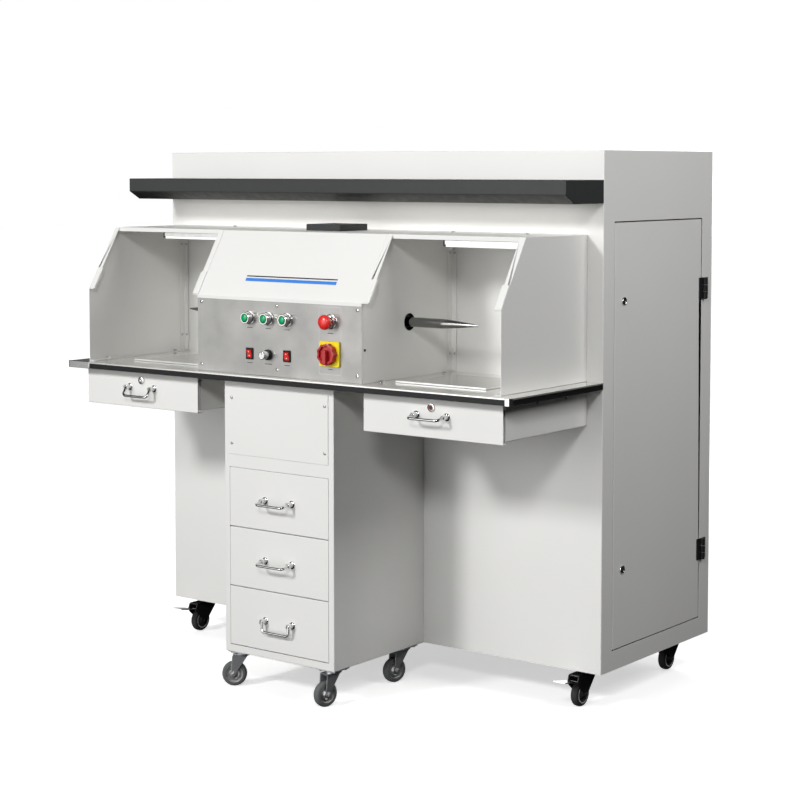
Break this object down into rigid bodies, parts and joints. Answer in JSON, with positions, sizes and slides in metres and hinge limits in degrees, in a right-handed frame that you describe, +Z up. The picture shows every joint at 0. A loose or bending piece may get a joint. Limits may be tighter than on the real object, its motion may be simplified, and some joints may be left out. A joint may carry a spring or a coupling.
{
  "type": "polishing bench with dust collector",
  "caption": "Floor-standing polishing bench: hoods with tapered spindles over a worktop, catch drawers and a drawer pedestal, with fan and filters in a cabinet behind, on casters.",
  "frame": {"origin": "on the floor, at the middle of the bench's outline seen from above", "axes": "+X to the right of an operator who faces the bench, +Y from the operator towards the cabinet's back, +Z up"},
  "size_m": [1.4683, 0.9769, 1.3949],
  "materials": {
    "off_white_paint": "fine-textured off-white powder coat",
    "dark_grey_paint": "dark grey powder coat",
    "brushed_stainless": "brushed stainless sheet",
    "bright_steel": "polished steel",
    "zinc_plate": "bright zinc plate",
    "motor_grey_paint": "grey machine paint",
    "filter_media": "pleated filter media on a painted deck",
    "black_coating": "black coated caster fork",
    "black_tyre": "black polyurethane tread",
    "grey_tyre": "grey rubber tread",
    "green_lens": "green translucent lens",
    "red_plastic": "red moulded plastic"
  },
  "bodies": {
    "bench": {"access_panel": "off_white_paint", "blower_housing": "motor_grey_paint", "cabinet_base": "off_white_paint", "cabinet_body": "off_white_paint", "control_box": "off_white_paint", "control_panel": "brushed_stainless", "filter_bank": "filter_media", "lamp_bar": "dark_grey_paint", "left_drawer_housing": "off_white_paint", "left_hood": "off_white_paint", "pedestal_case": "off_white_paint", "rear_panel": "off_white_paint", "right_drawer_housing": "off_white_paint", "right_hood": "off_white_paint", "spindle_motors": "motor_grey_paint", "worktop": "brushed_stainless"},
    "cabinet_front_left_caster_fork": {"cabinet_front_left_caster_fork": "black_coating"},
    "cabinet_front_left_caster_wheel": {"cabinet_front_left_caster_wheel": "black_tyre"},
    "cabinet_front_left_brake_pedal": {"cabinet_front_left_brake_pedal": "bright_steel"},
    "cabinet_front_right_caster_fork": {"cabinet_front_right_caster_fork": "black_coating"},
    "cabinet_front_right_caster_wheel": {"cabinet_front_right_caster_wheel": "black_tyre"},
    "cabinet_front_right_brake_pedal": {"cabinet_front_right_brake_pedal": "bright_steel"},
    "cabinet_rear_left_caster_fork": {"cabinet_rear_left_caster_fork": "black_coating"},
    "cabinet_rear_left_caster_wheel": {"cabinet_rear_left_caster_wheel": "black_tyre"},
    "cabinet_rear_right_caster_fork": {"cabinet_rear_right_caster_fork": "black_coating"},
    "cabinet_rear_right_caster_wheel": {"cabinet_rear_right_caster_wheel": "black_tyre"},
    "pedestal_front_left_caster_fork": {"pedestal_front_left_caster_fork": "zinc_plate"},
    "pedestal_front_left_caster_wheel": {"pedestal_front_left_caster_wheel": "grey_tyre"},
    "pedestal_front_right_caster_fork": {"pedestal_front_right_caster_fork": "zinc_plate"},
    "pedestal_front_right_caster_wheel": {"pedestal_front_right_caster_wheel": "grey_tyre"},
    "pedestal_rear_left_caster_fork": {"pedestal_rear_left_caster_fork": "zinc_plate"},
    "pedestal_rear_left_caster_wheel": {"pedestal_rear_left_caster_wheel": "grey_tyre"},
    "pedestal_rear_right_caster_fork": {"pedestal_rear_right_caster_fork": "zinc_plate"},
    "pedestal_rear_right_caster_wheel": {"pedestal_rear_right_caster_wheel": "grey_tyre"},
    "side_door": {"side_door": "off_white_paint"},
    "lower_door_lock": {"lower_door_lock": "bright_steel"},
    "upper_door_lock": {"upper_door_lock": "bright_steel"},
    "blower_impeller": {"blower_impeller": "zinc_plate"},
    "left_spindle": {"left_spindle": "bright_steel"},
    "right_spindle": {"right_spindle": "bright_steel"},
    "left_motor_button": {"left_motor_button": "green_lens"},
    "fan_button": {"fan_button": "green_lens"},
    "right_motor_button": {"right_motor_button": "green_lens"},
    "left_lamp_switch": {"left_lamp_switch": "red_plastic"},
    "right_lamp_switch": {"right_lamp_switch": "red_plastic"},
    "speed_knob": {"speed_knob": "bright_steel"},
    "emergency_stop": {"emergency_stop": "red_plastic"},
    "isolator_handle": {"isolator_handle": "red_plastic"},
    "lower_drawer": {"lower_drawer": "off_white_paint"},
    "middle_drawer": {"middle_drawer": "off_white_paint"},
    "upper_drawer": {"upper_drawer": "off_white_paint"},
    "left_catch_drawer": {"left_catch_drawer": "off_white_paint"},
    "left_catch_drawer_lock": {"left_catch_drawer_lock": "bright_steel"},
    "right_catch_drawer": {"right_catch_drawer": "off_white_paint"},
    "right_catch_drawer_lock": {"right_catch_drawer_lock": "bright_steel"},
    "lower_drawer_pull": {"lower_drawer_pull": "bright_steel"},
    "middle_drawer_pull": {"middle_drawer_pull": "bright_steel"},
    "upper_drawer_pull": {"upper_drawer_pull": "bright_steel"},
    "left_catch_drawer_pull": {"left_catch_drawer_pull": "bright_steel"},
    "right_catch_drawer_pull": {"right_catch_drawer_pull": "bright_steel"}
  },
  "joints": [
    {"name": "cabinet_front_left_caster_swivel", "type": "hinge", "parent": "bench", "child": "cabinet_front_left_caster_fork", "pos_m": [-0.651, -0.01152, 0.0817], "axis": [0, 0, 1], "continuous": true},
    {"name": "cabinet_front_left_caster_roll", "type": "hinge", "parent": "cabinet_front_left_caster_fork", "child": "cabinet_front_left_caster_wheel", "pos_m": [-0.651, -0.04452, 0.0315], "axis": [1, 0, 0], "continuous": true},
    {"name": "cabinet_front_left_brake", "type": "hinge", "parent": "cabinet_front_left_caster_fork", "child": "cabinet_front_left_brake_pedal", "pos_m": [-0.651, -0.07452, 0.068], "axis": [1, 0, 0], "range_deg": [0, 15]},
    {"name": "cabinet_front_right_caster_swivel", "type": "hinge", "parent": "bench", "child": "cabinet_front_right_caster_fork", "pos_m": [0.651, -0.01152, 0.0817], "axis": [0, 0, 1], "continuous": true},
    {"name": "cabinet_front_right_caster_roll", "type": "hinge", "parent": "cabinet_front_right_caster_fork", "child": "cabinet_front_right_caster_wheel", "pos_m": [0.651, -0.04452, 0.0315], "axis": [1, 0, 0], "continuous": true},
    {"name": "cabinet_front_right_brake", "type": "hinge", "parent": "cabinet_front_right_caster_fork", "child": "cabinet_front_right_brake_pedal", "pos_m": [0.651, -0.07452, 0.068], "axis": [1, 0, 0], "range_deg": [0, 15]},
    {"name": "cabinet_rear_left_caster_swivel", "type": "hinge", "parent": "bench", "child": "cabinet_rear_left_caster_fork", "pos_m": [-0.651, 0.43048, 0.0817], "axis": [0, 0, 1], "continuous": true},
    {"name": "cabinet_rear_left_caster_roll", "type": "hinge", "parent": "cabinet_rear_left_caster_fork", "child": "cabinet_rear_left_caster_wheel", "pos_m": [-0.651, 0.39748, 0.0315], "axis": [1, 0, 0], "continuous": true},
    {"name": "cabinet_rear_right_caster_swivel", "type": "hinge", "parent": "bench", "child": "cabinet_rear_right_caster_fork", "pos_m": [0.651, 0.43048, 0.0817], "axis": [0, 0, 1], "continuous": true},
    {"name": "cabinet_rear_right_caster_roll", "type": "hinge", "parent": "cabinet_rear_right_caster_fork", "child": "cabinet_rear_right_caster_wheel", "pos_m": [0.651, 0.39748, 0.0315], "axis": [1, 0, 0], "continuous": true},
    {"name": "pedestal_front_left_caster_swivel", "type": "hinge", "parent": "bench", "child": "pedestal_front_left_caster_fork", "pos_m": [-0.15, -0.41152, 0.0817], "axis": [0, 0, 1], "continuous": true},
    {"name": "pedestal_front_left_caster_roll", "type": "hinge", "parent": "pedestal_front_left_caster_fork", "child": "pedestal_front_left_caster_wheel", "pos_m": [-0.16997, -0.42657, 0.0325], "axis": [0.6018, -0.7986, 0], "continuous": true},
    {"name": "pedestal_front_right_caster_swivel", "type": "hinge", "parent": "bench", "child": "pedestal_front_right_caster_fork", "pos_m": [0.15, -0.41152, 0.0817], "axis": [0, 0, 1], "continuous": true},
    {"name": "pedestal_front_right_caster_roll", "type": "hinge", "parent": "pedestal_front_right_caster_fork", "child": "pedestal_front_right_caster_wheel", "pos_m": [0.14416, -0.43583, 0.0325], "axis": [0.9724, -0.2334, 0], "continuous": true},
    {"name": "pedestal_rear_left_caster_swivel", "type": "hinge", "parent": "bench", "child": "pedestal_rear_left_caster_fork", "pos_m": [-0.15, -0.12452, 0.0817], "axis": [0, 0, 1], "continuous": true},
    {"name": "pedestal_rear_left_caster_roll", "type": "hinge", "parent": "pedestal_rear_left_caster_fork", "child": "pedestal_rear_left_caster_wheel", "pos_m": [-0.16174, -0.1466, 0.0325], "axis": [0.8829, -0.4695, 0], "continuous": true},
    {"name": "pedestal_rear_right_caster_swivel", "type": "hinge", "parent": "bench", "child": "pedestal_rear_right_caster_fork", "pos_m": [0.15, -0.12452, 0.0817], "axis": [0, 0, 1], "continuous": true},
    {"name": "pedestal_rear_right_caster_roll", "type": "hinge", "parent": "pedestal_rear_right_caster_fork", "child": "pedestal_rear_right_caster_wheel", "pos_m": [0.14228, -0.1483, 0.0325], "axis": [0.9511, -0.309, 0], "continuous": true},
    {"name": "side_door_hinge", "type": "hinge", "parent": "bench", "child": "side_door", "pos_m": [0.7333, 0.44148, 0.148], "axis": [0, 0, 1], "range_deg": [0, 110]},
    {"name": "lower_door_lock_turn", "type": "hinge", "parent": "side_door", "child": "lower_door_lock", "pos_m": [0.727, 0.02898, 0.344], "axis": [-1, 0, 0], "range_deg": [0, 90]},
    {"name": "upper_door_lock_turn", "type": "hinge", "parent": "side_door", "child": "upper_door_lock", "pos_m": [0.727, 0.02898, 1.0199], "axis": [-1, 0, 0], "range_deg": [0, 90]},
    {"name": "blower_spin", "type": "hinge", "parent": "bench", "child": "blower_impeller", "pos_m": [0.168, 0.20948, 1.2322], "axis": [1, 0, 0], "continuous": true},
    {"name": "left_spindle_spin", "type": "hinge", "parent": "bench", "child": "left_spindle", "pos_m": [-0.2725, -0.25452, 0.9644], "axis": [1, 0, 0], "continuous": true},
    {"name": "right_spindle_spin", "type": "hinge", "parent": "bench", "child": "right_spindle", "pos_m": [0.2725, -0.25452, 0.9644], "axis": [1, 0, 0], "continuous": true},
    {"name": "left_motor_button_press", "type": "slide", "parent": "bench", "child": "left_motor_button", "axis": [0, 1, 0], "range_m": [0, 0.004], "stiffness_N_per_m": 400},
    {"name": "fan_button_press", "type": "slide", "parent": "bench", "child": "fan_button", "axis": [0, 1, 0], "range_m": [0, 0.004], "stiffness_N_per_m": 400},
    {"name": "right_motor_button_press", "type": "slide", "parent": "bench", "child": "right_motor_button", "axis": [0, 1, 0], "range_m": [0, 0.004], "stiffness_N_per_m": 400},
    {"name": "left_lamp_switch_rock", "type": "hinge", "parent": "bench", "child": "left_lamp_switch", "pos_m": [-0.0915, -0.44982, 0.8782], "axis": [-1, 0, 0], "range_deg": [0, 24]},
    {"name": "right_lamp_switch_rock", "type": "hinge", "parent": "bench", "child": "right_lamp_switch", "pos_m": [0.0335, -0.44982, 0.8782], "axis": [-1, 0, 0], "range_deg": [0, 24]},
    {"name": "speed_knob_turn", "type": "hinge", "parent": "bench", "child": "speed_knob", "pos_m": [-0.029, -0.45012, 0.8782], "axis": [0, -1, 0], "range_deg": [-150, 150]},
    {"name": "emergency_stop_press", "type": "slide", "parent": "bench", "child": "emergency_stop", "axis": [0, 1, 0], "range_m": [0, 0.006]},
    {"name": "isolator_turn", "type": "hinge", "parent": "bench", "child": "isolator_handle", "pos_m": [0.174, -0.45462, 0.8922], "axis": [0, -1, 0], "range_deg": [0, 90]},
    {"name": "lower_drawer_slide", "type": "slide", "parent": "bench", "child": "lower_drawer", "axis": [0, -1, 0], "range_m": [0, 0.3]},
    {"name": "middle_drawer_slide", "type": "slide", "parent": "bench", "child": "middle_drawer", "axis": [0, -1, 0], "range_m": [0, 0.3]},
    {"name": "upper_drawer_slide", "type": "slide", "parent": "bench", "child": "upper_drawer", "axis": [0, -1, 0], "range_m": [0, 0.3]},
    {"name": "left_catch_drawer_slide", "type": "slide", "parent": "bench", "child": "left_catch_drawer", "axis": [0, -1, 0], "range_m": [0, 0.3]},
    {"name": "left_catch_drawer_lock_turn", "type": "hinge", "parent": "left_catch_drawer", "child": "left_catch_drawer_lock", "pos_m": [-0.48175, -0.44652, 0.7826], "axis": [0, -1, 0], "range_deg": [0, 90]},
    {"name": "right_catch_drawer_slide", "type": "slide", "parent": "bench", "child": "right_catch_drawer", "axis": [0, -1, 0], "range_m": [0, 0.3]},
    {"name": "right_catch_drawer_lock_turn", "type": "hinge", "parent": "right_catch_drawer", "child": "right_catch_drawer_lock", "pos_m": [0.48175, -0.44652, 0.7826], "axis": [0, -1, 0], "range_deg": [0, 90]},
    {"name": "lower_drawer_pull_swing", "type": "hinge", "parent": "lower_drawer", "child": "lower_drawer_pull", "pos_m": [0, -0.46052, 0.19215], "axis": [-1, 0, 0], "range_deg": [-4, 91]},
    {"name": "middle_drawer_pull_swing", "type": "hinge", "parent": "middle_drawer", "child": "middle_drawer_pull", "pos_m": [0, -0.46052, 0.34745], "axis": [-1, 0, 0], "range_deg": [-78, 17]},
    {"name": "upper_drawer_pull_swing", "type": "hinge", "parent": "upper_drawer", "child": "upper_drawer_pull", "pos_m": [0, -0.46052, 0.50275], "axis": [-1, 0, 0], "range_deg": [-78, 17]},
    {"name": "left_catch_drawer_pull_swing", "type": "hinge", "parent": "left_catch_drawer", "child": "left_catch_drawer_pull", "pos_m": [-0.48175, -0.46052, 0.7626], "axis": [-1, 0, 0], "range_deg": [-32, 63]},
    {"name": "right_catch_drawer_pull_swing", "type": "hinge", "parent": "right_catch_drawer", "child": "right_catch_drawer_pull", "pos_m": [0.48175, -0.46052, 0.7626], "axis": [-1, 0, 0], "range_deg": [-78, 17]}
  ]
}
